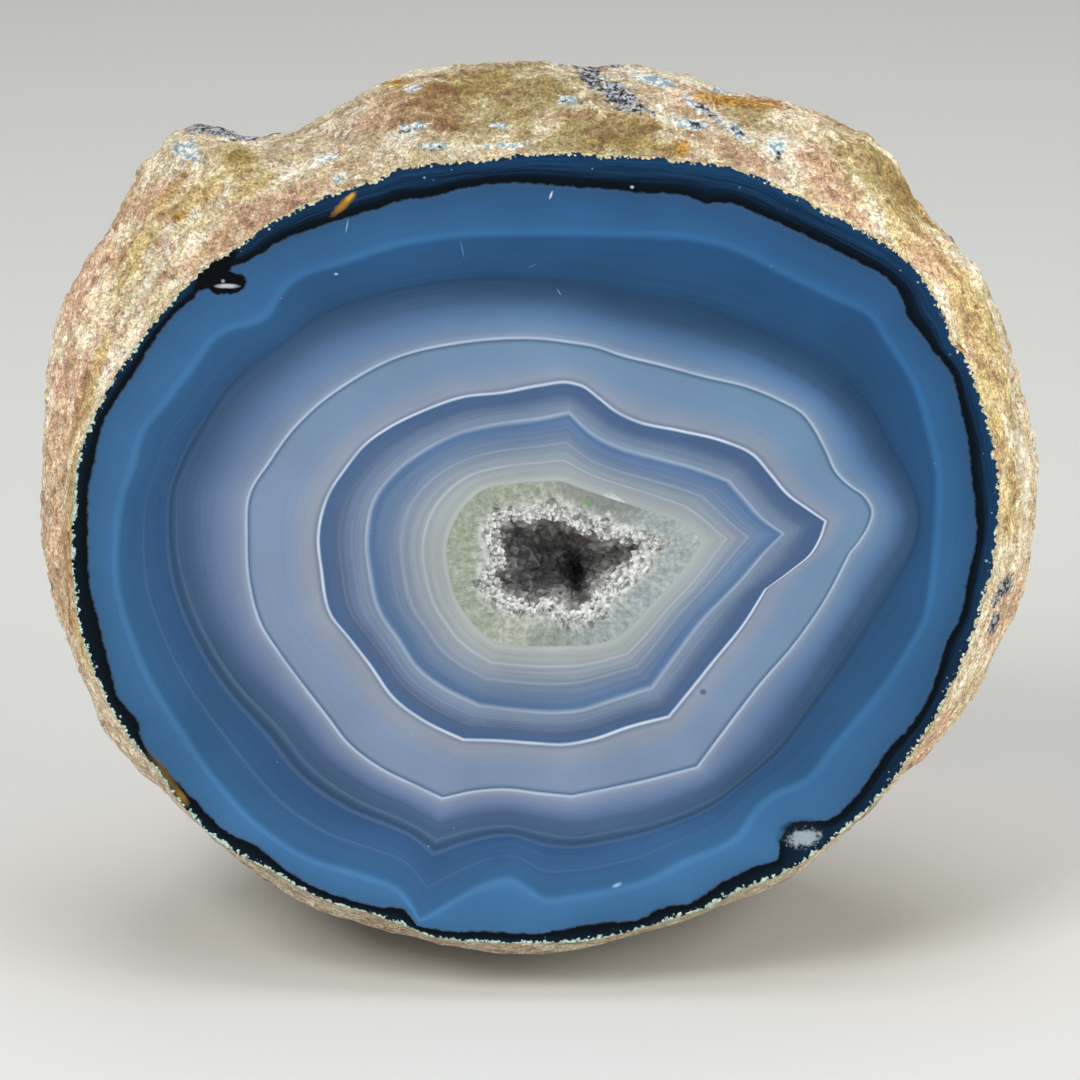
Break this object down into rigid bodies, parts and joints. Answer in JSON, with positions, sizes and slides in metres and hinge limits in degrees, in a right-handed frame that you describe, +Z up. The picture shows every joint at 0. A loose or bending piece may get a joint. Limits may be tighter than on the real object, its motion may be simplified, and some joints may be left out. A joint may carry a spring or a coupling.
{
  "type": "druzy agate half",
  "caption": "Sawn and polished half of a banded agate nodule with a rough rind, a crystal-lined hollow and a flat spot that it leans back on.",
  "frame": {"origin": "on the ground flat spot's plane, under the middle of the stone's bounding box", "axes": "+X to the right along the polished face, +Y from the polished face to the back of the stone, +Z up"},
  "size_m": [0.1246, 0.067, 0.1057],
  "materials": {
    "banded_agate": "sawn face polished to a mirror gloss with blue and grey bands, rind left rough and ochre",
    "druzy_quartz": "translucent grey-green quartz ending in small clear to white crystal points"
  },
  "bodies": {
    "root": {"agate": "banded_agate", "quartz_crust": "druzy_quartz"}
  },
  "joints": []
}
